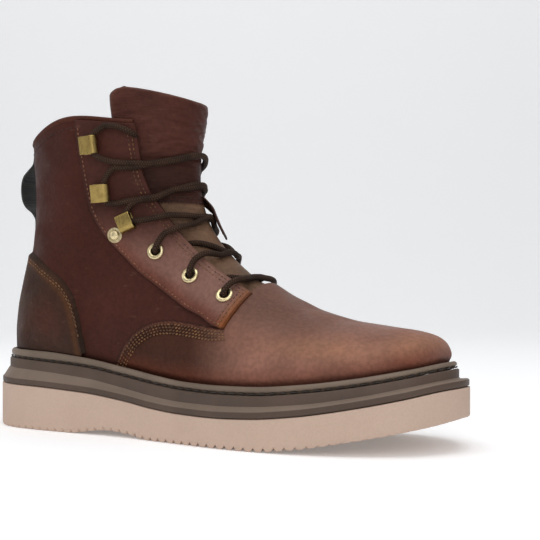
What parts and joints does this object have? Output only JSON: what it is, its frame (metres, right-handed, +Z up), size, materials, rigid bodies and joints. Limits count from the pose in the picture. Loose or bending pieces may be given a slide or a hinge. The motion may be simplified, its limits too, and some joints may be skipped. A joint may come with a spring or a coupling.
{
  "type": "wedge sole work boot",
  "caption": "Ankle-high lace-up leather work boot for the right foot on a one-piece wedge sole, with speed hooks, eyelets, a padded tongue and a webbing pull loop",
  "frame": {"origin": "on the floor under the middle of the sole's outline", "axes": "+X from heel to toe, +Y to the boot's inner side, +Z up"},
  "size_m": [0.305, 0.111, 0.1984],
  "materials": {
    "outsole_rubber": "matt pinkish beige moulded rubber",
    "midsole_rubber": "matt dark taupe rubber",
    "welt_rubber": "matt taupe storm welt with a stitched groove",
    "lining_textile": "brown knitted lining",
    "upper_leather": "oiled pull-up leather with a soft sheen",
    "counter_leather": "rubbed waxy leather",
    "tongue_leather": "soft grained leather",
    "webbing": "dark ribbed webbing",
    "brass": "satin antique brass",
    "lace_cord": "round braided cord"
  },
  "bodies": {
    "root": {"outsole": "outsole_rubber", "midsole": "midsole_rubber", "welt": "welt_rubber", "insole": "lining_textile", "upper": "upper_leather", "heel_counter": "counter_leather", "facing_outer": "upper_leather", "facing_inner": "upper_leather", "tongue": "tongue_leather", "pull_loop": "webbing", "eyelet_outer_1": "brass", "eyelet_outer_2": "brass", "eyelet_outer_3": "brass", "eyelet_inner_1": "brass", "eyelet_inner_2": "brass", "eyelet_inner_3": "brass", "hook_outer_1": "brass", "hook_outer_2": "brass", "hook_outer_3": "brass", "hook_inner_1": "brass", "hook_inner_2": "brass", "hook_inner_3": "brass", "lace_crossing_1": "lace_cord", "lace_crossing_2": "lace_cord", "lace_crossing_3": "lace_cord", "lace_crossing_4": "lace_cord", "lace_crossing_5": "lace_cord", "lace_end_outer": "lace_cord", "lace_end_inner": "lace_cord"}
  },
  "joints": []
}
